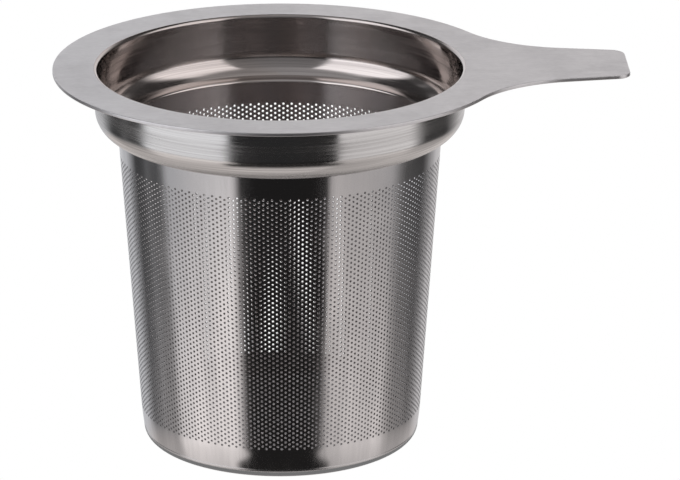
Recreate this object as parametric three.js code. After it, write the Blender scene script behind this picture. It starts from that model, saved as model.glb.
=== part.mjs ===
// Tea strainer that hangs in a mug: a flat steel rim with a handle, a rounded collar let into the
// rim, a tapered filter sleeve below it and a dished base that closes the sleeve.
// Millimetres, +Z up. The origin is the centre of the base's underside and the handle points to +X.

import * as THREE from 'three';

// Overall sizes
const HEIGHT = 68.6;           // underside of the base to the top of the rim
const RIM_RADIUS = 40;
const HANDLE_TIP = 61.4;       // strainer's axis to the end of the handle
const SHEET = 0.6;             // thickness of the rim and handle
const JOINT_GAP = 0.3;         // clearance left at each welded seam

// Handle, a tapered tongue of the rim sheet
const HANDLE_HALF_WIDTH = 7.8; // where its sides would meet the end edge
const HANDLE_TAPER = 0.16;     // width gained on each side for each mm towards the rim
const HANDLE_CORNER = 2.75;
const NECK_RADIUS = 22;        // hollow curve between the handle's side and the round rim

// Collar
const COLLAR_RADIUS = 32.65;   // outer face of the upright wall
const COLLAR_SHEET = 0.5;
const LIP_ROUND = 1;           // roll from the top of the rim into the collar
const WALL_DROP = 7.45;        // top of the rim to the start of the shoulder
const SHOULDER_ROUND = 4.1;    // outer radius of the shoulder
const MOUTH_ROUND = 0.75;      // roll from the shoulder into the sleeve
const NECK_DROP = 11.8;        // top of the rim to the collar's lower edge
const NECK_FILLET = 0.25;

// Filter sleeve, a cone
const SLEEVE_SHEET = 0.3;
const SLEEVE_TOP_RADIUS = 28.65;   // outer face at the collar's lower edge
const SLEEVE_SLOPE = 0.0688;       // radius lost for each mm downwards

// Base
const BASE_SHEET = 0.4;
const BASE_ROUND = 1.85;       // outer radius of its turned-up edge

// Fineness of the round shapes
const TURN_STEPS = 64;
const RIM_STEPS = 56;

const steel = (name, color, roughness) =>
  new THREE.MeshStandardMaterial({ name, color, roughness, metalness: 1 });
const rimSteel = steel('satin rim steel', 0xb9b7b8, 0.42);
const collarSteel = steel('brushed collar steel', 0xc2c0be, 0.28);
const sleeveSteel = steel('polished sleeve steel', 0xbcbcc0, 0.18);
const baseSteel = steel('polished base steel', 0xb4b3b2, 0.22);

const degrees = THREE.MathUtils.degToRad;

// Points of a round stretch, both ends included. Angles are in degrees, anticlockwise.
function arc(centreX, centreY, radius, from, to, steps) {
  return Array.from({ length: steps + 1 }, (_, i) => {
    const angle = degrees(from + ((to - from) * i) / steps);
    return new THREE.Vector2(centreX + radius * Math.cos(angle), centreY + radius * Math.sin(angle));
  });
}

const point = (radius, height) => new THREE.Vector2(radius, height);

// A closed outline in (radius, height), listed anticlockwise, turned about the strainer's axis
function turned(name, outline, material) {
  const geometry = new THREE.LatheGeometry([...outline, outline[0].clone()], TURN_STEPS);
  geometry.rotateX(Math.PI / 2);
  const mesh = new THREE.Mesh(geometry, material);
  mesh.name = name;
  return mesh;
}

const sleeveRadius = (height) =>
  SLEEVE_TOP_RADIUS - SLEEVE_SLOPE * (HEIGHT - NECK_DROP - height);

// Round rim and handle, cut from one flat sheet
function rimPlate() {
  const slant = Math.hypot(1, HANDLE_TAPER);
  const sideAngle = THREE.MathUtils.radToDeg(Math.atan2(1, HANDLE_TAPER));
  const sideOffset = HANDLE_HALF_WIDTH + HANDLE_TAPER * HANDLE_TIP;
  const reach = RIM_RADIUS + NECK_RADIUS;
  const neckAngle = THREE.MathUtils.radToDeg(
    Math.asin((NECK_RADIUS + sideOffset / slant) / reach) - Math.atan(HANDLE_TAPER));
  const neckX = reach * Math.cos(degrees(neckAngle));
  const neckY = reach * Math.sin(degrees(neckAngle));
  const cornerX = HANDLE_TIP - HANDLE_CORNER;
  const cornerY = sideOffset - HANDLE_TAPER * cornerX - HANDLE_CORNER * slant;

  const side = [
    ...arc(cornerX, cornerY, HANDLE_CORNER, 0, sideAngle, 6),
    ...arc(neckX, neckY, NECK_RADIUS, sideAngle + 180, neckAngle + 180, 10),
  ];
  const mirrored = side.map((p) => new THREE.Vector2(p.x, -p.y)).reverse();
  const round = arc(0, 0, RIM_RADIUS, neckAngle, 360 - neckAngle, RIM_STEPS).slice(1, -1);

  const outline = new THREE.Shape([...side, ...round, ...mirrored]);
  const holeRadius = COLLAR_RADIUS - COLLAR_SHEET + LIP_ROUND + JOINT_GAP;
  outline.holes.push(new THREE.Path(arc(0, 0, holeRadius, 360, 0, TURN_STEPS).slice(0, -1)));

  const geometry = new THREE.ExtrudeGeometry(outline, { depth: SHEET, bevelEnabled: false });
  const mesh = new THREE.Mesh(geometry, rimSteel);
  mesh.name = 'rim_plate';
  mesh.position.z = HEIGHT - SHEET;
  return mesh;
}

// Rolled lip, upright wall, rounded shoulder and the short neck that the sleeve is welded to
function collar() {
  const innerRadius = COLLAR_RADIUS - COLLAR_SHEET;
  const lipRadius = innerRadius + LIP_ROUND;
  const lipHeight = HEIGHT - LIP_ROUND;
  const wallEnd = HEIGHT - WALL_DROP;
  const shoulderCentre = COLLAR_RADIUS - SHOULDER_ROUND;
  const shoulderInner = SHOULDER_ROUND - COLLAR_SHEET;
  const neckEnd = HEIGHT - NECK_DROP;
  const neckOuter = SLEEVE_TOP_RADIUS;
  const mouthCentre = neckOuter - SLEEVE_SHEET + MOUTH_ROUND;
  const shelfAngle = THREE.MathUtils.radToDeg(Math.acos((mouthCentre - shoulderCentre) / shoulderInner));
  const shelfHeight = wallEnd - shoulderInner * Math.sin(degrees(shelfAngle));

  return turned('collar', [
    point(neckOuter, neckEnd),
    ...arc(neckOuter + NECK_FILLET, neckEnd, NECK_FILLET, 180, 90, 2).slice(1),
    ...arc(shoulderCentre, wallEnd, SHOULDER_ROUND, -80, 0, 7),
    ...arc(lipRadius, lipHeight, LIP_ROUND - COLLAR_SHEET, 180, 90, 2),
    ...arc(lipRadius, lipHeight, LIP_ROUND, 90, 180, 4),
    ...arc(shoulderCentre, wallEnd, shoulderInner, 0, -shelfAngle, 7),
    ...arc(mouthCentre, shelfHeight - MOUTH_ROUND, MOUTH_ROUND, 90, 180, 3).slice(1),
    point(neckOuter - SLEEVE_SHEET, neckEnd),
  ], collarSteel);
}

// Tapered tube of thin sheet. Its fine round holes are too many for this model.
function filterSleeve() {
  const top = HEIGHT - NECK_DROP - JOINT_GAP;
  const bottom = BASE_ROUND + JOINT_GAP;
  return turned('filter_sleeve', [
    point(sleeveRadius(bottom), bottom),
    point(sleeveRadius(top), top),
    point(sleeveRadius(top) - SLEEVE_SHEET, top),
    point(sleeveRadius(bottom) - SLEEVE_SHEET, bottom),
  ], sleeveSteel);
}

// Shallow dish whose rounded edge turns up to meet the sleeve
function baseCap() {
  const outer = sleeveRadius(BASE_ROUND);
  const centre = outer - BASE_ROUND;
  return turned('base_cap', [
    point(0, 0),
    ...arc(centre, BASE_ROUND, BASE_ROUND, -90, 0, 5),
    ...arc(centre, BASE_ROUND, BASE_ROUND - BASE_SHEET, 0, -90, 5),
    point(0, BASE_SHEET),
  ], baseSteel);
}

const teaStrainer = new THREE.Group();
teaStrainer.add(rimPlate(), collar(), filterSleeve(), baseCap());

export default teaStrainer;
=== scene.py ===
"""Tea strainer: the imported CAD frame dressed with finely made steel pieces.

Every piece is a surface worked out from the frame's own sizes: a rim cut from flat sheet, a
collar turned about the axis, a sleeve with real holes in three sectors, and a perforated base.
"""

import math

import bpy
import numpy as np
from bpy.props import FloatProperty, FloatVectorProperty, IntProperty, PointerProperty
from bpy.types import Operator, Panel, PropertyGroup
from mathutils import Matrix, Vector


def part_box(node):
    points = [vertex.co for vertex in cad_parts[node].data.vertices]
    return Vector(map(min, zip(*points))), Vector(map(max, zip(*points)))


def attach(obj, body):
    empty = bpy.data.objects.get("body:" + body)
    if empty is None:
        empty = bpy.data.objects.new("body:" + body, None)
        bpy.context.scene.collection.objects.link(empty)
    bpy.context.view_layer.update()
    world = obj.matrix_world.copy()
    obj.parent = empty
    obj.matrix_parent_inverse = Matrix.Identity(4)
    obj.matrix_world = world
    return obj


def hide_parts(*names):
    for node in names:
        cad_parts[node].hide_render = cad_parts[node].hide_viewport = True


bl_info = {
    "name": "Tea Strainer",
    "version": (1, 0, 0),
    "blender": (4, 5, 0),
    "location": "View3D > Sidebar > Tea Strainer",
    "description": "Builds a steel mug strainer with real perforations",
    "category": "Object",
}

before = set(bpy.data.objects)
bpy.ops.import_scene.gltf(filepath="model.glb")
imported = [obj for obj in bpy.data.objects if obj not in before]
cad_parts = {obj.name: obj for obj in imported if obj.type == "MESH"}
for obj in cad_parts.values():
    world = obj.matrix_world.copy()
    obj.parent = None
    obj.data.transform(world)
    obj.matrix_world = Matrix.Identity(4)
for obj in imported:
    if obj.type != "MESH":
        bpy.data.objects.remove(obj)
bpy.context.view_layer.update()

MM = 0.001
RIM_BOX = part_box("rim_plate")
COLLAR_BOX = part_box("collar")
BASE_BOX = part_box("base_cap")
RIM_TOP = RIM_BOX[1].z
RIM_RADIUS = -RIM_BOX[0].x
HANDLE_TIP = RIM_BOX[1].x
SHEET = RIM_BOX[1].z - RIM_BOX[0].z
LIP_RADIUS = -COLLAR_BOX[0].x
NECK_END = COLLAR_BOX[0].z
BASE_TOP = BASE_BOX[1].z
BASE_RADIUS = BASE_BOX[1].x

# How far in from the CAD collar's lip the inner wall and the sleeve's top lie.
LIP_TO_WALL = 1 * MM
LIP_TO_NECK = 4.5 * MM
INNER_WALL = LIP_RADIUS - LIP_TO_WALL
NECK_RADIUS = LIP_RADIUS - LIP_TO_NECK

# Gap between the rim's hole and the collar, and where the shoulder's round starts, in degrees.
SEAM = 0.02 * MM
SHOULDER_START = -88
SECTORS = ("front", "right", "left")

# How many steps each stretch of a surface is cut into.
ROUND_STEPS = 256
CORNER_STEPS, SIDE_STEPS, HOLLOW_STEPS, RIM_STEPS, END_STEPS = 14, 10, 48, 330, 12
FLAT_STEPS, EDGE_STEPS = 8, 4
SHOULDER_STEPS, WALL_STEPS, LIP_STEPS, SHELF_STEPS, MOUTH_STEPS = 32, 6, 16, 28, 12
BAND_ROWS_ABOVE, BAND_ROWS_BELOW = 5, 7
FOOT_STEPS, INNER_FOOT_STEPS = 18, 12
SLEEVE_HOLE_CORNERS, BASE_HOLE_CORNERS = 8, 12


# ---------------------------------------------------------------- sizes a user may change


class RimSizes(PropertyGroup):
    """Flat rim and handle."""

    handle_half_width: FloatProperty(
        name="Handle half width",
        description="Where the handle's sides would meet its end edge",
        default=7.8 * MM,
        unit="LENGTH",
    )
    taper: FloatProperty(
        name="Handle taper",
        description="Width gained on each side for each unit of length towards the rim",
        default=0.16,
    )
    corner: FloatProperty(
        name="Corner radius",
        description="Round at each end corner of the handle",
        default=2.75 * MM,
        unit="LENGTH",
    )
    neck_radius: FloatProperty(
        name="Neck radius",
        description="Hollow curve between the handle and the round rim",
        default=22 * MM,
        unit="LENGTH",
    )
    edge_round: FloatProperty(
        name="Edge round",
        description="Small round along the cut edges",
        default=0.12 * MM,
        unit="LENGTH",
    )
    colour: FloatVectorProperty(
        name="Rim colour",
        description="Base colour of the satin rim",
        subtype="COLOR",
        default=(0.585, 0.575, 0.58),
        min=0,
        max=1,
    )


class CollarSizes(PropertyGroup):
    """Rolled lip, wall, shoulder and neck."""

    sheet: FloatProperty(
        name="Sheet",
        description="Thickness of the collar's wall",
        default=0.5 * MM,
        unit="LENGTH",
    )
    lip_round: FloatProperty(
        name="Lip round",
        description="Roll from the rim's top into the collar",
        default=0.6 * MM,
        unit="LENGTH",
    )
    wall_drop: FloatProperty(
        name="Wall drop",
        description="Rim's top to the start of the shoulder",
        default=7.45 * MM,
        unit="LENGTH",
    )
    shoulder_round: FloatProperty(
        name="Shoulder round",
        description="Outer radius of the shoulder",
        default=4.1 * MM,
        unit="LENGTH",
    )
    shelf_drop: FloatProperty(
        name="Shelf drop",
        description="Rim's top to the start of the hollow curve inside",
        default=6.85 * MM,
        unit="LENGTH",
    )
    shelf_round: FloatProperty(
        name="Shelf round",
        description="Radius of the hollow curve inside",
        default=4.5 * MM,
        unit="LENGTH",
    )
    mouth_round: FloatProperty(
        name="Mouth round",
        description="Roll from the shelf down into the sleeve",
        default=0.5 * MM,
        unit="LENGTH",
    )
    groove: FloatProperty(
        name="Groove",
        description="Depth of the groove where the collar meets the sleeve",
        default=0.22 * MM,
        unit="LENGTH",
    )
    colour: FloatVectorProperty(
        name="Collar colour",
        description="Base colour of the brushed collar",
        subtype="COLOR",
        default=(0.67, 0.66, 0.65),
        min=0,
        max=1,
    )


class SleeveSizes(PropertyGroup):
    """Perforated cone and base."""

    sheet: FloatProperty(
        name="Sheet",
        description="Thickness of the etched sheet",
        default=0.3 * MM,
        unit="LENGTH",
    )
    columns: IntProperty(
        name="Columns",
        description="Upright columns of holes round the sleeve, a multiple of six",
        default=234,
        min=12,
    )
    first_row: FloatProperty(
        name="First row",
        description="Rim's top to the highest row of holes",
        default=15.7 * MM,
        unit="LENGTH",
    )
    last_row: FloatProperty(
        name="Last row",
        description="Rim's top to the lowest row of holes",
        default=62.7 * MM,
        unit="LENGTH",
    )
    half_steps: IntProperty(
        name="Half steps",
        description="Half pitches between the highest and the lowest row, an even number",
        default=108,
        min=2,
    )
    hole_radius: FloatProperty(
        name="Hole radius",
        description="Radius of one hole",
        default=0.22 * MM,
        unit="LENGTH",
    )
    foot_curve: FloatProperty(
        name="Foot curve",
        description="Inward bend below the lowest holes, as depth for each unit of length squared",
        default=9.8,
    )
    base_rings: IntProperty(
        name="Base rings",
        description="Rings of holes in the base round the middle one",
        default=24,
        min=2,
    )
    base_pitch: FloatProperty(
        name="Base pitch",
        description="Distance between rings of holes in the base",
        default=0.87 * MM,
        unit="LENGTH",
    )
    base_sheet: FloatProperty(
        name="Base sheet",
        description="Thickness of the base",
        default=0.4 * MM,
        unit="LENGTH",
    )
    colour: FloatVectorProperty(
        name="Sleeve colour",
        description="Base colour of the polished sleeve",
        subtype="COLOR",
        default=(0.64, 0.635, 0.64),
        min=0,
        max=1,
    )


# ---------------------------------------------------------------- profile and mesh tools


def arc(centre_x, centre_y, radius, start, stop, steps, side=1):
    """Round stretch of a profile: the centre plus the radius at equal angles, in degrees.

    Its normals point away from the centre, or towards it where side is -1.
    """
    angle = np.radians(np.linspace(start, stop, steps + 1))
    direction = np.stack([np.cos(angle), np.sin(angle)], 1)
    return np.array([centre_x, centre_y]) + radius * direction, side * direction


def line(start, stop, steps=1):
    """Straight stretch of a profile, with its normals on the right of the way it runs."""
    start, stop = np.array(start, float), np.array(stop, float)
    share = np.linspace(0, 1, steps + 1)[:, None]
    way = (stop - start) / np.linalg.norm(stop - start)
    return start + share * (stop - start), np.tile([way[1], -way[0]], (steps + 1, 1))


def joined(stretches):
    """One profile from stretches that follow one another, without its very last point.

    Gives the points, and for each edge the normal at its start and at its end, so that two
    stretches may meet in a crisp corner.
    """
    return (
        np.concatenate([p[..., :-1, :] for p, _ in stretches], -2),
        np.concatenate([n[..., :-1, :] for _, n in stretches], -2),
        np.concatenate([n[..., 1:, :] for _, n in stretches], -2),
    )


def strips(sections, first, last, closed=True):
    """Quads between neighbouring sections, an array (sections, points in one, 3).

    The sections close on themselves, and so does each section where closed is true. first and
    last are the normals at the start and the end of each edge of a section.
    """
    rounds, count = sections.shape[:2]
    here = np.arange(rounds)[:, None]
    after = (here + 1) % rounds
    i = np.arange(count if closed else count - 1)[None, :]
    j = (i + 1) % count
    quads = np.stack([here * count + i, after * count + i, after * count + j, here * count + j], -1)
    corners = np.stack([first, np.roll(first, -1, 0), np.roll(last, -1, 0), last], -2)
    return quads.reshape(-1, 4), corners.reshape(-1, 4, 3)


def spun(flat, angles):
    """Turns (radius, height) points about the axis: (r cos a, r sin a, z) for each angle a."""
    cosine, sine = np.cos(angles)[:, None], np.sin(angles)[:, None]
    height = np.broadcast_to(flat[None, :, 1], (len(angles), len(flat)))
    return np.stack([flat[None, :, 0] * cosine, flat[None, :, 0] * sine, height], -1)


def new_piece(name, vertices, faces, normals, inside, material, replaced):
    """Mesh object from arrays, which stands for the replaced CAD node.

    faces is a list of (n, k) vertex numbers with (n, k, 3) normals, and inside holds, for each
    face, 1 where it belongs to the vessel's inner side.
    """
    loops = np.concatenate([f.ravel() for f in faces]).astype(np.int32)
    sizes = np.concatenate([np.full(len(f), f.shape[1]) for f in faces])
    starts = np.concatenate([[0], np.cumsum(sizes)[:-1]]).astype(np.int32)
    mesh = bpy.data.meshes.new(name)
    mesh.vertices.add(len(vertices))
    mesh.vertices.foreach_set("co", np.asarray(vertices, np.float32).ravel())
    mesh.loops.add(len(loops))
    mesh.loops.foreach_set("vertex_index", loops)
    mesh.polygons.add(len(starts))
    mesh.polygons.foreach_set("loop_start", starts)
    mesh.polygons.foreach_set("use_smooth", np.ones(len(starts), bool))
    mesh.update(calc_edges=True)
    if mesh.validate():
        raise RuntimeError(f"{name} has faces that are not valid")
    sides = mesh.attributes.new("inside", "FLOAT", "FACE")
    sides.data.foreach_set("value", np.asarray(inside, np.float32))
    mesh.normals_split_custom_set(np.concatenate([n.reshape(-1, 3) for n in normals]))
    mesh.materials.append(material)
    piece = bpy.data.objects.new(name, mesh)
    bpy.context.scene.collection.objects.link(piece)
    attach(piece, "root")
    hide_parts(replaced)
    return piece


# ---------------------------------------------------------------- shapes


def rim_outline(sizes):
    """Closed outline of rim and handle, anticlockwise from the handle's upper corner.

    Corner arc, tapered side, hollow arc touching both the side and the round rim, the rim
    itself, then the same stretches mirrored and the end edge. The hollow's centre lies at the
    rim's radius plus its own, at the angle where it is its own radius away from the side.
    """
    slant = math.hypot(1, sizes.taper)
    side_angle = math.degrees(math.atan2(1, sizes.taper))
    offset = sizes.handle_half_width + sizes.taper * HANDLE_TIP
    reach = RIM_RADIUS + sizes.neck_radius
    neck = math.asin((sizes.neck_radius + offset / slant) / reach) - math.atan(sizes.taper)
    centre = reach * math.cos(neck), reach * math.sin(neck)
    neck = math.degrees(neck)
    corner_x = HANDLE_TIP - sizes.corner
    corner_y = offset - sizes.taper * corner_x - sizes.corner * slant
    corner = arc(corner_x, corner_y, sizes.corner, 0, side_angle, CORNER_STEPS)
    hollow = arc(
        *centre, sizes.neck_radius, side_angle + 180, neck + 180, HOLLOW_STEPS, side=-1
    )
    half = [corner, line(corner[0][-1], hollow[0][0], SIDE_STEPS), hollow]
    mirror = np.array([1, -1])
    other = [(p[::-1] * mirror, n[::-1] * mirror) for p, n in half[::-1]]
    around = arc(0, 0, RIM_RADIUS, neck, 360 - neck, RIM_STEPS)
    end_edge = line(corner[0][0] * mirror, corner[0][0], END_STEPS)
    return joined([*half, around, *other, end_edge])[:2]


def rim_surface(sizes, hole_radius):
    """Plate between the hole and the outline, as (points, faces, normals).

    It has one section for each point of the outline. A section lies on the line from the
    axis to that point: out along the underside, up the rounded cut edge, back along the top and
    down the hole's wall.
    """
    outer, outward = rim_outline(sizes)
    polar = np.arctan2(outer[:, 1], outer[:, 0])
    radial = np.stack([np.cos(polar), np.sin(polar), 0 * polar], 1)[:, None]
    outer = np.pad(outer, ((0, 0), (0, 1)))[:, None]
    outward = np.pad(outward, ((0, 0), (0, 1)))[:, None]
    hole = hole_radius * radial
    up = np.array([0, 0, 1.0])
    small = sizes.edge_round
    share = np.linspace(0, 1, FLAT_STEPS + 1)[None, :, None]
    flat = hole + share * (outer - small * outward - hole)
    upright = np.zeros_like(flat) + up

    def edge(start, stop, height):
        turn = np.radians(np.linspace(start, stop, EDGE_STEPS + 1))[None, :, None]
        direction = np.cos(turn) * outward + np.sin(turn) * up
        return outer - small * outward + small * direction + height * up, direction

    bottom, top = RIM_TOP - SHEET, RIM_TOP
    lower = edge(-90, 0, bottom + small)
    upper = edge(0, 90, top - small)
    side = np.concatenate([lower[0][:, -1:], upper[0][:, :1]], 1)
    wall = np.concatenate([hole + top * up, hole + bottom * up], 1)
    points, first, last = joined([
        (flat + bottom * up, -upright),
        lower,
        (side, np.repeat(outward, 2, 1)),
        upper,
        (flat[:, ::-1] + top * up, upright),
        (wall, np.repeat(-radial, 2, 1)),
    ])
    return points, *strips(points, first, last)


def collar_surface(sizes, sleeve):
    """Collar turned about the axis, as (points, faces, normals, inside).

    Its section goes up outside from the neck's lower edge: a shallow groove, the shoulder's
    round, the upright wall and the hollow under the lip. Inside it comes down over the lip's
    roll, the wall, the shelf's hollow curve and the round mouth. The two touch where the
    hollow has turned by the angle whose cosine is the distance of their centres, taken
    sideways, over the sum of their radii. Inner faces are those whose normals lean to the axis.
    """
    lip_radius = INNER_WALL + sizes.lip_round
    outer_wall = INNER_WALL + sizes.sheet
    lip_height = RIM_TOP - sizes.lip_round
    wall_end = RIM_TOP - sizes.wall_drop
    shoulder_centre = outer_wall - sizes.shoulder_round
    shelf_centre = INNER_WALL - sizes.shelf_round
    shelf_start = RIM_TOP - sizes.shelf_drop
    neck_outer = float(sleeve_shape(NECK_END, sleeve)[0])
    neck_inner = neck_outer - sleeve.sheet
    mouth_centre = neck_inner + sizes.mouth_round
    reach = sizes.shelf_round + sizes.mouth_round
    shelf_turn = math.acos((mouth_centre - shelf_centre) / reach)
    mouth_height = shelf_start - reach * math.sin(shelf_turn)
    shelf_turn = math.degrees(shelf_turn)
    groove = neck_outer - sizes.groove, NECK_END
    groove_top = neck_outer - sizes.groove, wall_end - sizes.shoulder_round
    under_lip_round = sizes.lip_round - sizes.sheet
    shoulder = arc(
        shoulder_centre, wall_end, sizes.shoulder_round, SHOULDER_START, 0, SHOULDER_STEPS
    )
    under_lip = arc(lip_radius, lip_height, under_lip_round, 180, 90, WALL_STEPS, side=-1)
    lip = arc(lip_radius, lip_height, sizes.lip_round, 90, 180, LIP_STEPS)
    hollow = arc(
        shelf_centre, shelf_start, sizes.shelf_round, 0, -shelf_turn, SHELF_STEPS, side=-1
    )
    mouth = arc(
        mouth_centre, mouth_height, sizes.mouth_round, 180 - shelf_turn, 180, MOUTH_STEPS
    )
    mouth_end = (neck_inner, NECK_END)
    profile = joined([
        line(groove, groove_top),
        line(groove_top, shoulder[0][0]),
        shoulder,
        line(shoulder[0][-1], under_lip[0][0], WALL_STEPS),
        under_lip,
        line(under_lip[0][-1], lip[0][0]),
        lip,
        line(lip[0][-1], hollow[0][0], WALL_STEPS),
        hollow,
        mouth,
        line(mouth[0][-1], mouth_end),
        line(mouth_end, groove),
    ])
    angles = np.radians(np.arange(ROUND_STEPS) * 360 / ROUND_STEPS)
    points, first, last = (spun(part, angles) for part in profile)
    inside = (profile[1] + profile[2])[:, 0] < 0
    return points, *strips(points, first, last), np.tile(inside, ROUND_STEPS)


def sleeve_shape(height, sizes):
    """Outer radius of the sleeve and its gain for each unit of height.

    A straight cone from the neck to the base. Below the lowest holes it bends in by the foot
    curve times the square of the distance from them.
    """
    slope = (NECK_RADIUS - BASE_RADIUS) / (NECK_END - BASE_TOP)
    below = np.maximum(RIM_TOP - sizes.last_row - height, 0)
    radius = NECK_RADIUS + slope * (height - NECK_END) - sizes.foot_curve * below**2
    return radius, slope + 2 * sizes.foot_curve * below


def ring_of_hole(count):
    """Turns of a hole's corners, and their places for a hole of radius 1.

    The corners lie a little outside that radius, by the square root of 2 pi / (n sin(2 pi / n))
    for n corners, so that the many-sided hole has the round one's area.
    """
    turn = 2 * math.pi * np.arange(count) / count
    grow = math.sqrt(2 * math.pi / (count * math.sin(2 * math.pi / count)))
    return turn, grow * np.cos(turn), grow * np.sin(turn)


def sleeve_sector(sizes, start, columns):
    """One sector of the sleeve, closed all round, as (vertices, faces, normals, inside).

    The sheet is a grid of upright lines and half pitches on the cone. Each hole sits in a cell
    one pitch tall between two lines, and the cells of every other column are half a pitch
    lower. A cell's six rim points are tied to the hole's eight corners. Both skins use the same
    grid, the inner one a sheet's thickness nearer the axis.
    """
    step = 2 * math.pi / sizes.columns
    half = (sizes.last_row - sizes.first_row) / sizes.half_steps
    first_height = RIM_TOP - sizes.first_row
    levels = first_height - half * np.arange(-1, sizes.half_steps + 2)
    above = np.linspace(NECK_END, levels[0], BAND_ROWS_ABOVE + 1)[:-1]
    below = np.linspace(levels[-1], BASE_TOP, BAND_ROWS_BELOW + 1)[1:]
    heights = np.concatenate([above, levels, below])
    rows = len(heights)
    top_level = len(above)
    last_level = top_level + len(levels) - 1

    column = np.arange(columns)
    odd = column % 2 == 1
    holes_in = sizes.half_steps // 2 + 1 - odd
    of_column = np.repeat(column, holes_in)
    order = np.arange(holes_in.sum()) - np.repeat(np.cumsum(holes_in) - holes_in, holes_in)
    drop = 2 * order + of_column % 2
    turn, across, upward = ring_of_hole(SLEEVE_HOLE_CORNERS)
    ring_height = (first_height - half * drop)[:, None] + sizes.hole_radius * upward
    ring_angle = (start + step * (of_column + 0.5))[:, None] + (
        sizes.hole_radius * across / sleeve_shape(ring_height, sizes)[0]
    )
    line_angle, line_height = np.meshgrid(
        start + step * np.arange(columns + 1), heights, indexing="ij"
    )
    angle = np.concatenate([line_angle.ravel(), ring_angle.ravel()])
    height = np.concatenate([line_height.ravel(), ring_height.ravel()])
    radius, slope = sleeve_shape(height, sizes)
    tilt = np.arctan(slope)
    cosine, sine = np.cos(angle), np.sin(angle)
    outward = np.stack([np.cos(tilt) * cosine, np.cos(tilt) * sine, -np.sin(tilt)], -1)
    uphill = np.stack([np.sin(tilt) * cosine, np.sin(tilt) * sine, np.cos(tilt)], -1)
    sideways = np.stack([-sine, cosine, 0 * sine], -1)
    outer = np.stack([radius * cosine, radius * sine, height], -1)
    level_out = np.stack([cosine, sine, 0 * sine], -1)
    skin = len(outer)
    vertices = np.concatenate([outer, outer - sizes.sheet * level_out])

    def at(line_number, row):
        return line_number * rows + row

    middle = top_level + 1 + drop
    left, right = of_column, of_column + 1
    cell = [
        at(right, middle), at(right, middle - 1), at(left, middle - 1),
        at(left, middle), at(left, middle + 1), at(right, middle + 1),
    ]
    holes = len(drop)
    corner = np.arange(SLEEVE_HOLE_CORNERS)
    ring = (columns + 1) * rows + SLEEVE_HOLE_CORNERS * np.arange(holes)[:, None] + corner
    ties = (
        (cell[0], cell[1], ring[:, 1], ring[:, 0]),
        (cell[1], cell[2], ring[:, 3], ring[:, 2]),
        (cell[1], ring[:, 2], ring[:, 1]),
        (cell[2], cell[3], ring[:, 4], ring[:, 3]),
        (cell[3], cell[4], ring[:, 5], ring[:, 4]),
        (cell[4], cell[5], ring[:, 7], ring[:, 6]),
        (cell[4], ring[:, 6], ring[:, 5]),
        (cell[5], cell[0], ring[:, 0], ring[:, 7]),
    )

    def plain(which, row_numbers):
        c, r = (grid.ravel() for grid in np.meshgrid(which, row_numbers, indexing="ij"))
        return at(c, r), at(c, r + 1), at(c + 1, r + 1), at(c + 1, r)

    bands = (
        plain(column, np.arange(top_level)),
        plain(column, np.arange(last_level, rows - 1)),
        plain(column[odd], np.array([top_level, last_level - 1])),
    )
    faces, normals, inside = [], [], []
    for corners in ties + bands:
        flat = np.stack(corners, -1)
        faces += [flat, flat[:, ::-1] + skin]
        normals += [outward[flat], -outward[flat[:, ::-1]]]
        inside += [np.zeros(len(flat)), np.ones(len(flat))]

    def wall(here, after, normal_here, normal_after):
        faces.append(np.stack([here, after, after + skin, here + skin], -1))
        normals.append(np.stack([normal_here, normal_after, normal_after, normal_here], -2))
        inside.append(np.zeros(len(here)))

    after = np.roll(ring, -1, 1)
    into_hole = -(
        np.cos(turn)[:, None] * sideways[ring] + np.sin(turn)[:, None] * uphill[ring]
    )
    wall(
        ring.ravel(), after.ravel(),
        into_hole.reshape(-1, 3), np.roll(into_hole, -1, 1).reshape(-1, 3),
    )
    up = np.array([0, 0, 1.0])
    top_right, top_left = at(column + 1, 0), at(column, 0)
    low_left, low_right = at(column, rows - 1), at(column + 1, rows - 1)
    row = np.arange(rows - 1)
    edges = (
        (top_right, top_left, 0 * outward + up),
        (low_left, low_right, 0 * outward - up),
        (at(0, row), at(0, row + 1), -sideways),
        (at(columns, row + 1), at(columns, row), sideways),
    )
    for here, beyond, normal in edges:
        wall(beyond, here, normal[beyond], normal[here])
    return vertices, faces, normals, np.concatenate(inside)


# Keeps a point that lies on the line between two sides of the hexagon on the second of them.
ROUNDING = 1e-9
# A face of the base is an inner one where the mean of its normals rises by more than this.
INNER_RISE = 0.3


def base_lattice(rings, pitch):
    """Holes of the base and the six corners of each one's cell, in the plane.

    A hexagonal lattice is mapped to a round plate: a point keeps its ring number m as the
    radius m times the pitch, and its share of the way along its side of the hexagon becomes
    the same share of sixty degrees.
    """
    span = np.arange(-rings, rings + 1)
    q, r = (grid.ravel() for grid in np.meshgrid(span, span, indexing="ij"))
    kept = np.abs(q + r) <= rings
    q, r = q[kept], r[kept]
    corner_q = 3 * q[:, None] + np.array([1, -1, -2, -1, 1, 2])
    corner_r = 3 * r[:, None] + np.array([1, 2, 1, -1, -2, -1])
    keys, numbers = np.unique(
        np.stack([corner_q.ravel(), corner_r.ravel()], -1), axis=0, return_inverse=True
    )

    def to_plate(q, r):
        x, y = q + r / 2, r * math.sqrt(3) / 2
        away = np.degrees(np.arctan2(y, x)) % 360
        side = np.floor(away / 60 + ROUNDING)
        beta = np.radians(away - 60 * side)
        size = np.hypot(x, y)
        ring = size * (np.cos(beta) + np.sin(beta) / math.sqrt(3))
        spread = math.sqrt(3) * np.cos(beta) + np.sin(beta)
        share = 2 * np.sin(beta) / spread
        turn = np.radians(60 * (side + share))
        return (ring * pitch)[:, None] * np.stack([np.cos(turn), np.sin(turn)], -1)

    centres = to_plate(q.astype(float), r.astype(float))
    corners = to_plate(keys[:, 0] / 3, keys[:, 1] / 3)
    return centres, corners, numbers.reshape(-1, 6)


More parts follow.
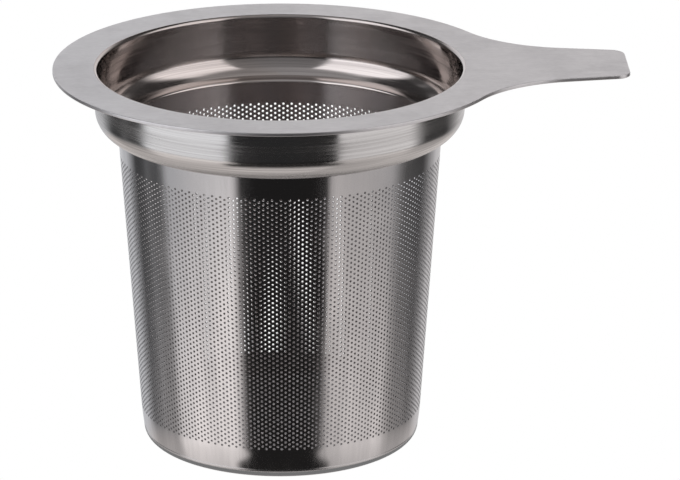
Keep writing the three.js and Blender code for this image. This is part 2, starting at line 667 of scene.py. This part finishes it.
def base_surface(sizes):
    """Dish with a perforated flat, as (vertices, faces, normals, inside).

    Two flat skins of cells, each cell's six corners tied to its hole's twelve, and round them a
    plain ring with a turned-up edge, carried round at the angles of the outermost corners. Those
    are the corners that fewer than three cells share. Inner faces are those that face upwards.
    """
    centres, corners, cells = base_lattice(sizes.base_rings, sizes.base_pitch)
    holes = len(centres)
    turn, across, upward = ring_of_hole(BASE_HOLE_CORNERS)
    around = corners[cells] - centres[:, None]
    nominal = np.exp(-1j * np.radians(30 + 60 * np.arange(6)))
    local = np.angle(((around[..., 0] + 1j * around[..., 1]) * nominal).sum(1))[:, None] + turn
    grow = math.hypot(across[0], upward[0])
    rings = centres[:, None] + grow * sizes.hole_radius * np.stack(
        [np.cos(local), np.sin(local)], -1
    )
    plan = np.concatenate([corners, rings.reshape(-1, 2)])
    skin = len(plan)
    corner = np.arange(BASE_HOLE_CORNERS)
    ring = len(corners) + BASE_HOLE_CORNERS * np.arange(holes)[:, None] + corner
    low = np.column_stack([plan, np.zeros(skin)])
    high = low + np.array([0, 0, sizes.base_sheet])
    up = np.array([0, 0, 1.0])
    faces, normals = [], []

    def add(flat, normal):
        faces.append(flat)
        normals.append(np.broadcast_to(normal, flat.shape + (3,)))

    for k in range(6):
        near, far = cells[:, k], cells[:, (k + 1) % 6]
        one, two, three = (ring[:, (2 * k + n) % BASE_HOLE_CORNERS] for n in (1, 2, 3))
        for flat in (np.stack([near, far, three, two], -1), np.stack([near, two, one], -1)):
            add(flat + skin, up)
            add(flat[:, ::-1], -up)
    after = np.roll(ring, -1, 1)
    toward = -np.stack([np.cos(local), np.sin(local), 0 * local], -1)
    toward_after = np.roll(toward, -1, 1)
    faces.append(
        np.stack([ring, after, after + skin, ring + skin], -1).reshape(-1, 4)[:, ::-1]
    )
    normals.append(
        np.stack([toward, toward_after, toward_after, toward], -2).reshape(-1, 4, 3)[:, ::-1]
    )

    uses = np.bincount(cells.ravel(), minlength=len(corners))
    border = np.flatnonzero(uses < 3)
    border = border[np.argsort(np.arctan2(corners[border, 1], corners[border, 0]))]
    angles = np.arctan2(corners[border, 1], corners[border, 0])
    edge_radius = float(sleeve_shape(BASE_TOP, sizes)[0])
    round_radius = BASE_TOP
    sheet = sizes.base_sheet
    flat_end = edge_radius - round_radius
    plain_start = (sizes.base_rings + 1) * sizes.base_pitch
    inner_round = round_radius - sheet
    profile = [
        line((plain_start, 0), (flat_end, 0), 2),
        arc(flat_end, round_radius, round_radius, -90, 0, FOOT_STEPS),
        line((edge_radius, round_radius), (edge_radius - sheet, round_radius)),
        arc(flat_end, round_radius, inner_round, 0, -90, INNER_FOOT_STEPS, side=-1),
        line((flat_end, sheet), (plain_start, sheet), 2),
    ]
    points, first, last = joined(profile)
    points = np.concatenate([points, [(plain_start, sheet)]])
    turned, first, last = (spun(part, angles) for part in (points, first, last))
    quads, corner_normals = strips(turned, first, last, closed=False)
    offset = 2 * skin
    faces.append(quads + offset)
    normals.append(corner_normals)
    count = len(points)
    start = offset + count * np.arange(len(border))
    end = start + count - 1
    border_after, start_after, end_after = (np.roll(v, -1) for v in (border, start, end))
    add(np.stack([border, border_after, start_after, start], -1), -up)
    add(np.stack([end, end_after, border_after + skin, border + skin], -1), up)
    inside = np.concatenate([n.mean(1)[:, 2] > INNER_RISE for n in normals])
    return np.concatenate([low, high, turned.reshape(-1, 3)]), faces, normals, inside


# ---------------------------------------------------------------- node tools and groups


def add_node(tree, kind, inputs=None, **settings):
    """Adds a node: settings go on the node, and inputs hold either values or sockets."""
    made = tree.nodes.new(kind)
    for key, value in settings.items():
        setattr(made, key, value)
    for key, value in (inputs or {}).items():
        if isinstance(value, bpy.types.NodeSocket):
            tree.links.new(value, made.inputs[key])
        else:
            made.inputs[key].default_value = value
    return made


def maths(tree, operation, *values):
    """Math node's result."""
    return add_node(tree, "ShaderNodeMath", dict(enumerate(values)), operation=operation).outputs[0]


def ramp_between(tree, value, low, high, to_low=0.0, to_high=1.0):
    """Smooth rise from to_low at low to to_high at high."""
    inputs = {"Value": value, "From Min": low, "From Max": high, "To Min": to_low, "To Max": to_high}
    made = add_node(tree, "ShaderNodeMapRange", inputs, interpolation_type="SMOOTHSTEP")
    return made.outputs["Result"]


def group_with(name, inputs, outputs):
    """Empty shader node group, with its inner sockets.

    An input is given as (name, kind, default), and an output as (name, kind).
    """
    tree = bpy.data.node_groups.new(name, "ShaderNodeTree")
    for label, kind, value in inputs:
        socket = tree.interface.new_socket(label, in_out="INPUT", socket_type=f"NodeSocket{kind}")
        socket.default_value = value
    for label, kind in outputs:
        tree.interface.new_socket(label, in_out="OUTPUT", socket_type=f"NodeSocket{kind}")
    return tree, add_node(tree, "NodeGroupInput").outputs, add_node(tree, "NodeGroupOutput").inputs


# Scale of the broad lines beside the fine ones, and where the noise turns into a patch.
BROAD_SCALE = 0.21
PATCH_RANGE = (0.42, 0.68)


def brushed_lines_group():
    """Lines left by brushing: noise drawn out along one way, at a fine and a broad scale."""
    tree, given, result = group_with(
        "Brushed Lines",
        [("Stretch", "Vector", (60, 60, 6000)), ("Broad", "Float", 0.4)],
        [("Lines", "Float")],
    )
    place = add_node(tree, "ShaderNodeTexCoord").outputs["Object"]
    fine_place = add_node(
        tree, "ShaderNodeVectorMath", {0: place, 1: given["Stretch"]}, operation="MULTIPLY"
    ).outputs[0]
    broad_place = add_node(
        tree, "ShaderNodeVectorMath", {0: fine_place, "Scale": BROAD_SCALE}, operation="SCALE"
    ).outputs[0]
    fine = add_node(tree, "ShaderNodeTexNoise", {"Vector": fine_place, "Scale": 1, "Detail": 2})
    broad = add_node(tree, "ShaderNodeTexNoise", {"Vector": broad_place, "Scale": 1, "Detail": 1})
    mixed = add_node(
        tree,
        "ShaderNodeMix",
        {"Factor": given["Broad"], "A": fine.outputs["Fac"], "B": broad.outputs["Fac"]},
    )
    tree.links.new(mixed.outputs["Result"], result["Lines"])
    return tree


def handling_marks_group():
    """Faint smudges: broad soft noise, raised to leave scattered patches."""
    tree, given, result = group_with(
        "Handling Marks", [("Size", "Float", 90.0)], [("Marks", "Float")]
    )
    place = add_node(tree, "ShaderNodeTexCoord").outputs["Object"]
    noise = add_node(
        tree,
        "ShaderNodeTexNoise",
        {"Vector": place, "Scale": given["Size"], "Detail": 3, "Distortion": 0.6},
    )
    tree.links.new(ramp_between(tree, noise.outputs["Fac"], *PATCH_RANGE), result["Marks"])
    return tree


def shared_group(name, make):
    """The named node group, made on first use."""
    return bpy.data.node_groups.get(name) or make()


# Values of the lines between which the colour and the roughness change.
TONE_RANGE = (0.3, 0.7)
GLOSS_RANGE = (0.25, 0.75)
MARKS_ROUGHNESS = 0.03
QUARTER_TURN = 0.25
# Colour factor for the vessel's inner side, darker and warmer than the steel: painted shade.
INSIDE_PAINTED_SHADE = (0.79, 0.735, 0.715, 1)


def steel(
    name, colour, stretch, broad, tone, roughness, bump,
    anisotropy=0.0, inner=0.0, inner_painted_light_and_shade=INSIDE_PAINTED_SHADE,
):
    """Steel whose colour, roughness and relief follow its brushing lines and handling marks.

    tone is how much the lines darken it, roughness its low and high value, and bump the depth
    of the lines in metres. anisotropy draws its highlights out. On the vessel's inner side the
    roughness gains inner and the colour is multiplied by the last argument, painted light and
    shade: below one it is painted shade that darkens and warms the inside, above one painted light.
    """
    material = bpy.data.materials.new(name)
    material.use_nodes = True
    tree = material.node_tree
    shader = tree.nodes["Principled BSDF"]
    shader.inputs["Metallic"].default_value = 1
    shader.inputs["Anisotropic"].default_value = anisotropy
    shader.inputs["Anisotropic Rotation"].default_value = QUARTER_TURN if anisotropy else 0
    lines = add_node(
        tree,
        "ShaderNodeGroup",
        node_tree=shared_group("Brushed Lines", brushed_lines_group),
    )
    lines.inputs["Stretch"].default_value = stretch
    lines.inputs["Broad"].default_value = broad
    smudges = add_node(
        tree,
        "ShaderNodeGroup",
        node_tree=shared_group("Handling Marks", handling_marks_group),
    )
    contrast = ramp_between(tree, lines.outputs["Lines"], *TONE_RANGE)
    dark = [c * (1 - tone) for c in colour]
    mixed = add_node(
        tree,
        "ShaderNodeMix",
        {"Factor": contrast, "A": (*dark, 1), "B": (*colour, 1)},
        data_type="RGBA",
    )
    inside = add_node(tree, "ShaderNodeAttribute", attribute_name="inside").outputs["Fac"]
    # Multiplies the inner side's colour by a factor: painted shade below one, painted light above
    # one.
    painted_inside_colour = add_node(
        tree,
        "ShaderNodeMix",
        {"Factor": inside, "A": mixed.outputs["Result"], "B": inner_painted_light_and_shade},
        data_type="RGBA",
        blend_type="MULTIPLY",
    )
    tree.links.new(painted_inside_colour.outputs["Result"], shader.inputs["Base Color"])
    smooth, rough = roughness
    brushed = ramp_between(tree, lines.outputs["Lines"], *GLOSS_RANGE, rough, smooth)
    smudged = maths(tree, "MULTIPLY_ADD", smudges.outputs["Marks"], MARKS_ROUGHNESS, brushed)
    by_side = maths(tree, "MULTIPLY_ADD", inside, inner, smudged)
    tree.links.new(by_side, shader.inputs["Roughness"])
    relief = add_node(
        tree,
        "ShaderNodeBump",
        {"Height": lines.outputs["Lines"], "Distance": bump, "Strength": 1.0},
    )
    tree.links.new(relief.outputs["Normal"], shader.inputs["Normal"])
    return material


# ---------------------------------------------------------------- operators


# The camera stands off from the middle of the rim's top, and aims to the right of it and below it.
CAMERA_DISTANCE = 802.8 * MM
CAMERA_RISE = math.radians(16.61)
CAMERA_TURN = math.radians(-1)
CAMERA_ROLL = math.radians(-0.185)
AIM_ASIDE = math.radians(0.75)
AIM_DOWN = math.radians(2.199)
LENS = 241.05
SENSOR_WIDTH = 36
FURTHEST_SEEN = 20


class STRAINER_OT_camera(Operator):
    """Camera with a long lens, looking slightly down at the front with the handle to the right."""

    bl_idname = "strainer.camera"
    bl_label = "Set Camera"

    def execute(self, context):
        target = Vector((0, 0, RIM_TOP))
        turn = Matrix.Rotation(CAMERA_TURN, 3, "Z")
        offset = CAMERA_DISTANCE * Vector((0, -math.cos(CAMERA_RISE), math.sin(CAMERA_RISE)))
        place = target + turn @ offset
        forward = (target - place).normalized()
        right = turn @ Vector((1, 0, 0))
        up = right.cross(forward)
        side_step = CAMERA_DISTANCE * math.tan(AIM_ASIDE)
        drop = CAMERA_DISTANCE * math.tan(AIM_DOWN) / math.cos(AIM_ASIDE)
        aim = (target + side_step * right - drop * up - place).normalized()
        across = aim.cross(up).normalized()
        upward = across.cross(aim)
        right = math.cos(CAMERA_ROLL) * across + math.sin(CAMERA_ROLL) * upward
        up = math.cos(CAMERA_ROLL) * upward - math.sin(CAMERA_ROLL) * across
        data = bpy.data.cameras.new("view")
        data.sensor_width = SENSOR_WIDTH
        data.lens = LENS
        data.clip_end = FURTHEST_SEEN
        camera = bpy.data.objects.new("view", data)
        columns = Matrix((right, up, -aim)).transposed().to_4x4()
        camera.matrix_world = Matrix.Translation(place) @ columns
        context.scene.collection.objects.link(camera)
        context.scene.camera = camera
        return {"FINISHED"}


# Light of the studio sky. The first table shares each direction round the object, in degrees from
# the front towards the handle, between side panel, back wall, side gap and front gap. The second
# gives the light of those four by height above the horizon, in degrees.
SKY_SHARES = (
    (-180, (0, 1, 0, 0)),
    (-146, (0, 1, 0, 0)),
    (-130, (0, 0, 1, 0)),
    (-119, (0, 0, 1, 0)),
    (-114, (0, 0.15, 0.85, 0)),
    (-108, (0, 0, 1, 0)),
    (-98, (0, 0, 1, 0)),
    (-91, (1, 0, 0, 0)),
    (-36, (1, 0, 0, 0)),
    (-31, (0, 0, 0, 1)),
    (34, (0, 0, 0, 1)),
    (37, (0.76, 0, 0, 0)),
    (88, (0.85, 0, 0, 0)),
    (97, (0.2, 0, 0.8, 0)),
    (102, (0, 0, 1, 0)),
    (126, (0, 0, 1, 0)),
    (150, (0, 1, 0, 0)),
    (180, (0, 1, 0, 0)),
)
SKY_LIGHTS = (
    (-90, (0.62, 0.62, 0.62, 0.62)),
    (-50, (0.62, 0.62, 0.62, 0.62)),
    (-45, (0.66, 0.65, 0.6, 0.02)),
    (-39, (0.75, 0.7, 0.55, 0.016)),
    (-30, (1.0, 0.7, 0.5, 0.016)),
    (-27.6, (1.2, 0.7, 0.46, 0.016)),
    (-25.4, (0.76, 0.65, 0.36, 0.016)),
    (-23.8, (0.48, 0.65, 0.14, 0.016)),
    (-22, (0.52, 0.65, 0.07, 0.016)),
    (-20, (1.25, 0.65, 0.06, 0.016)),
    (-17, (0.97, 0.65, 0.05, 0.035)),
    (-8, (1.4, 0.7, 0.08, 0.035)),
    (5, (1.8, 1.05, 0.1, 0.01)),
    (12, (1.8, 1.05, 0.1, 0.01)),
    (17, (1.8, 1.05, 0.1, 0.25)),
    (27, (1.8, 1.05, 0.1, 0.28)),
    (33, (1.8, 0.06, 0.06, 0.28)),
    (56, (1.8, 0.05, 0.05, 0.28)),
    (64, (0.47, 0.47, 0.47, 0.47)),
    (90, (0.47, 0.47, 0.47, 0.47)),
)
SKY_SCALE = 2.0

# The light is cool. It turns warm on the way down through the heights, and half warm on the way
# right through the directions, all in degrees.
COOL_LIGHT = (0.98, 0.985, 1.02, 1)
WARM_LIGHT = (1.05, 0.98, 0.955, 1)
WARM_HEIGHTS = (-22.5, -28.0)
WARM_DIRECTIONS = (0.0, 30.0)

# The front gap changes below the horizon: each row gives the two heights between which its half
# width shrinks, and by about how many degrees, or where it is below zero, grows. The change dies
# out between the two directions of GAP_FADE.
GAP_HALF_WIDTH = 33.0
GAP_FADE = (45.0, 80.0)
GAP_CHANGES = ((-27.0, -30.0, 2.0), (-30.0, -31.5, 4.5), (-31.5, -36.0, -12.0))


def ramp_of(tree, factor, rows, low, high, scale):
    """Colour ramp whose four channels follow rows of (position, four values)."""
    made = add_node(tree, "ShaderNodeValToRGB", {"Fac": factor})
    stops = made.color_ramp.elements
    stops.remove(stops[1])
    for position, values in rows:
        stop = stops.new((position - low) / (high - low))
        stop.color = [value / scale for value in values]
    stops.remove(stops[0])
    return made.outputs


def studio_light(tree):
    """Tint and strength of the sky in each direction.

    The strength is the sum over panel, back wall, side gap and front gap of each one's share at
    the azimuth times its light at the elevation, times the sky's scale.
    """
    way = add_node(tree, "ShaderNodeTexCoord").outputs["Generated"]
    x, y, z = add_node(tree, "ShaderNodeSeparateXYZ", {0: way}).outputs
    degrees = 180 / math.pi
    front = maths(tree, "MULTIPLY", y, -1.0)
    azimuth = maths(tree, "MULTIPLY", maths(tree, "ARCTAN2", x, front), degrees)
    elevation = maths(tree, "MULTIPLY", maths(tree, "ARCSINE", z), degrees)
    narrower = 0.0
    for low, high, change in GAP_CHANGES:
        step = ramp_between(tree, elevation, low, high, 0.0, change / GAP_HALF_WIDTH)
        narrower = maths(tree, "ADD", step, narrower)
    fade = ramp_between(tree, maths(tree, "ABSOLUTE", azimuth), *GAP_FADE, 1.0, 0.0)
    shift = maths(tree, "MULTIPLY_ADD", narrower, fade, 1.0)
    azimuth = maths(tree, "MULTIPLY", azimuth, shift)
    shares = ramp_of(
        tree, maths(tree, "MULTIPLY_ADD", azimuth, 1 / 360, 0.5), SKY_SHARES, -180, 180, 1.0
    )
    lights = ramp_of(
        tree, maths(tree, "MULTIPLY_ADD", elevation, 1 / 180, 0.5), SKY_LIGHTS, -90, 90, SKY_SCALE
    )
    three = add_node(
        tree,
        "ShaderNodeVectorMath",
        {0: shares["Color"], 1: lights["Color"]},
        operation="DOT_PRODUCT",
    ).outputs["Value"]
    fourth = maths(tree, "MULTIPLY", shares["Alpha"], lights["Alpha"])
    right = ramp_between(tree, azimuth, *WARM_DIRECTIONS, 0.0, 0.5)
    low = ramp_between(tree, elevation, *WARM_HEIGHTS)
    tint = add_node(
        tree,
        "ShaderNodeMix",
        {"Factor": maths(tree, "ADD", right, low), "A": COOL_LIGHT, "B": WARM_LIGHT},
        data_type="RGBA",
        clamp_factor=True,
    )
    light = maths(tree, "MULTIPLY", maths(tree, "ADD", three, fourth), SKY_SCALE)
    return tint.outputs["Result"], light


def stage_piece(name, corners, faces, material):
    """Flat stage object that diffuse and shadow rays pass through."""
    mesh = bpy.data.meshes.new(name)
    mesh.from_pydata(corners, [], faces)
    mesh.materials.append(material)
    made = bpy.data.objects.new(name, mesh)
    bpy.context.scene.collection.objects.link(made)
    made.visible_diffuse = False
    made.visible_shadow = False
    return made


def glowing(name, light):
    """Material that glows evenly from above and is clear from below."""
    material = bpy.data.materials.new(name)
    material.use_nodes = True
    tree = material.node_tree
    tree.nodes.clear()
    glow = add_node(tree, "ShaderNodeEmission", {"Color": (light, light, light, 1)})
    clear = add_node(tree, "ShaderNodeBsdfTransparent")
    under = add_node(tree, "ShaderNodeNewGeometry").outputs["Backfacing"]
    either = add_node(
        tree, "ShaderNodeMixShader", {0: under, 1: glow.outputs[0], 2: clear.outputs[0]}
    )
    out = add_node(tree, "ShaderNodeOutputMaterial")
    tree.links.new(either.outputs[0], out.inputs["Surface"])
    return material


FLOOR_HALF = 3.0
FLOOR_HEIGHT = -0.05 * MM

# Ring under the foot that only reflections see, as the shade where the foot meets the floor.
SHADE_STEPS = 96
SHADE_HEIGHT = -0.02 * MM
SHADE_INWARD = 1.2 * MM
SHADE_OUTWARD = 0.7 * MM
SHADE_LIGHT = 0.25


class STRAINER_OT_stage(Operator):
    """Pale floor, a shaded ring under the foot and a sky with soft panels and a dark front gap."""

    bl_idname = "strainer.stage"
    bl_label = "Build Stage"

    def execute(self, context):
        context.scene.view_settings.view_transform = "Standard"
        world = bpy.data.worlds.new("studio")
        world.use_nodes = True
        context.scene.world = world
        tree = world.node_tree
        tree.nodes.clear()
        seen = add_node(tree, "ShaderNodeLightPath").outputs["Is Camera Ray"]
        tint, light = studio_light(tree)
        colour = add_node(
            tree,
            "ShaderNodeMix",
            {"Factor": seen, "A": tint, "B": (1, 1, 1, 1)},
            data_type="RGBA",
        )
        strength = add_node(tree, "ShaderNodeMix", {"Factor": seen, "A": light, "B": 1.0})
        background = add_node(
            tree,
            "ShaderNodeBackground",
            {"Color": colour.outputs["Result"], "Strength": strength.outputs["Result"]},
        )
        sky = add_node(tree, "ShaderNodeOutputWorld")
        tree.links.new(background.outputs[0], sky.inputs["Surface"])

        corners = [
            (x * FLOOR_HALF, y * FLOOR_HALF, FLOOR_HEIGHT)
            for x, y in ((-1, -1), (1, -1), (1, 1), (-1, 1))
        ]
        floor = stage_piece("floor", corners, [(0, 1, 2, 3)], glowing("pale_floor", 1.0))
        floor.visible_glossy = False
        steps = SHADE_STEPS
        around = 2 * math.pi / steps * np.arange(steps)
        corners = [
            (reach * math.cos(angle), reach * math.sin(angle), SHADE_HEIGHT)
            for reach in (BASE_RADIUS - SHADE_INWARD, BASE_RADIUS + SHADE_OUTWARD)
            for angle in around
        ]
        ring = [(n, n + steps, (n + 1) % steps + steps, (n + 1) % steps) for n in range(steps)]
        shade = stage_piece("contact_shade", corners, ring, glowing("floor_in_shade", SHADE_LIGHT))
        shade.visible_camera = False
        shade.visible_transmission = False
        return {"FINISHED"}


class STRAINER_OT_rim(Operator):
    """Flat rim with its handle, cut from sheet, satin on top."""

    bl_idname = "strainer.rim"
    bl_label = "Build Rim"

    def execute(self, context):
        sizes = context.scene.strainer_rim
        material = steel(
            "rim_satin_steel",
            sizes.colour,
            stretch=(900, 2600, 900),
            broad=0.35,
            tone=0.06,
            roughness=(0.33, 0.39),
            bump=0.0006 * MM,
        )
        hole_radius = INNER_WALL + context.scene.strainer_collar.lip_round + SEAM
        points, faces, normals = rim_surface(sizes, hole_radius)
        new_piece(
            "rim_plate_satin", points.reshape(-1, 3), [faces], [normals],
            np.zeros(len(faces)), material, "rim_plate",
        )
        return {"FINISHED"}


class STRAINER_OT_collar(Operator):
    """Collar with a rolled lip and a rounded shoulder, brushed round."""

    bl_idname = "strainer.collar"
    bl_label = "Build Collar"

    def execute(self, context):
        sizes = context.scene.strainer_collar
        material = steel(
            "collar_brushed_steel",
            sizes.colour,
            stretch=(45, 45, 4200),
            broad=0.5,
            tone=0.3,
            roughness=(0.08, 0.3),
            bump=0.001 * MM,
            anisotropy=0.6,
            inner=-0.06,
        )
        # The inner side takes the default colour factor, darker and warmer: painted shade.
        points, faces, normals, inside = collar_surface(sizes, context.scene.strainer_sleeve)
        new_piece(
            "collar_brushed", points.reshape(-1, 3), [faces], [normals],
            inside, material, "collar",
        )
        return {"FINISHED"}


class STRAINER_OT_sleeve(Operator):
    """Perforated sleeve in three sectors, each with its own real holes."""

    bl_idname = "strainer.sleeve"
    bl_label = "Build Sleeve"

    def execute(self, context):
        sizes = context.scene.strainer_sleeve
        if sizes.columns % 6 or sizes.half_steps % 2:
            raise RuntimeError("the sleeve's columns must divide by six and its half steps by two")
        # The inner side takes the default colour factor, darker and warmer: painted shade.
        material = steel(
            "sleeve_polished_steel",
            sizes.colour,
            stretch=(1500, 1500, 40),
            broad=0.6,
            tone=0.13,
            roughness=(0.07, 0.15),
            bump=0.0018 * MM,
        )
        third = 2 * math.pi / 3
        for number, name in enumerate(SECTORS):
            start = -math.pi / 2 + (number - 0.5) * third
            vertices, faces, normals, inside = sleeve_sector(sizes, start, sizes.columns // 3)
            new_piece(
                f"filter_sleeve_{name}", vertices, faces, normals,
                inside, material, "filter_sleeve",
            )
        return {"FINISHED"}


class STRAINER_OT_base(Operator):
    """Dished base with rings of holes."""

    bl_idname = "strainer.base"
    bl_label = "Build Base"

    def execute(self, context):
        sizes = context.scene.strainer_sleeve
        material = steel(
            "base_polished_steel",
            sizes.colour,
            stretch=(300, 300, 300),
            broad=0.5,
            tone=0.05,
            roughness=(0.16, 0.22),
            bump=0.0005 * MM,
            inner=0.65,
            # The base's inner side is made brighter than its steel colour by this factor: painted
            # light.
            inner_painted_light_and_shade=(1.45, 1.45, 1.45, 1),
        )
        vertices, faces, normals, inside = base_surface(sizes)
        new_piece(
            "base_cap_perforated", vertices, faces, normals,
            inside, material, "base_cap",
        )
        return {"FINISHED"}


class STRAINER_PT_panel(Panel):
    """Lists the strainer's sizes and build steps."""

    bl_idname = "STRAINER_PT_panel"
    bl_label = "Tea Strainer"
    bl_space_type = "VIEW_3D"
    bl_region_type = "UI"
    bl_category = "Tea Strainer"

    def draw(self, context):
        for group in ("strainer_rim", "strainer_collar", "strainer_sleeve"):
            box = self.layout.box()
            settings = getattr(context.scene, group)
            for key in settings.bl_rna.properties.keys():
                if key not in ("rna_type", "name"):
                    box.prop(settings, key)
        for operator in STEPS:
            self.layout.operator(operator.bl_idname)


STEPS = (
    STRAINER_OT_camera,
    STRAINER_OT_stage,
    STRAINER_OT_rim,
    STRAINER_OT_collar,
    STRAINER_OT_sleeve,
    STRAINER_OT_base,
)
CLASSES = (RimSizes, CollarSizes, SleeveSizes, *STEPS, STRAINER_PT_panel)


def register():
    """Registers the classes and puts the sizes on the scene."""
    for cls in CLASSES:
        bpy.utils.register_class(cls)
    bpy.types.Scene.strainer_rim = PointerProperty(type=RimSizes)
    bpy.types.Scene.strainer_collar = PointerProperty(type=CollarSizes)
    bpy.types.Scene.strainer_sleeve = PointerProperty(type=SleeveSizes)


def unregister():
    """Takes the sizes and the classes away again."""
    del bpy.types.Scene.strainer_rim
    del bpy.types.Scene.strainer_collar
    del bpy.types.Scene.strainer_sleeve
    for cls in reversed(CLASSES):
        bpy.utils.unregister_class(cls)


def main():
    """Builds everything in order."""
    register()
    bpy.ops.strainer.camera()
    bpy.ops.strainer.stage()
    bpy.ops.strainer.rim()
    bpy.ops.strainer.collar()
    bpy.ops.strainer.sleeve()
    bpy.ops.strainer.base()


if __name__ == "__main__":
    main()
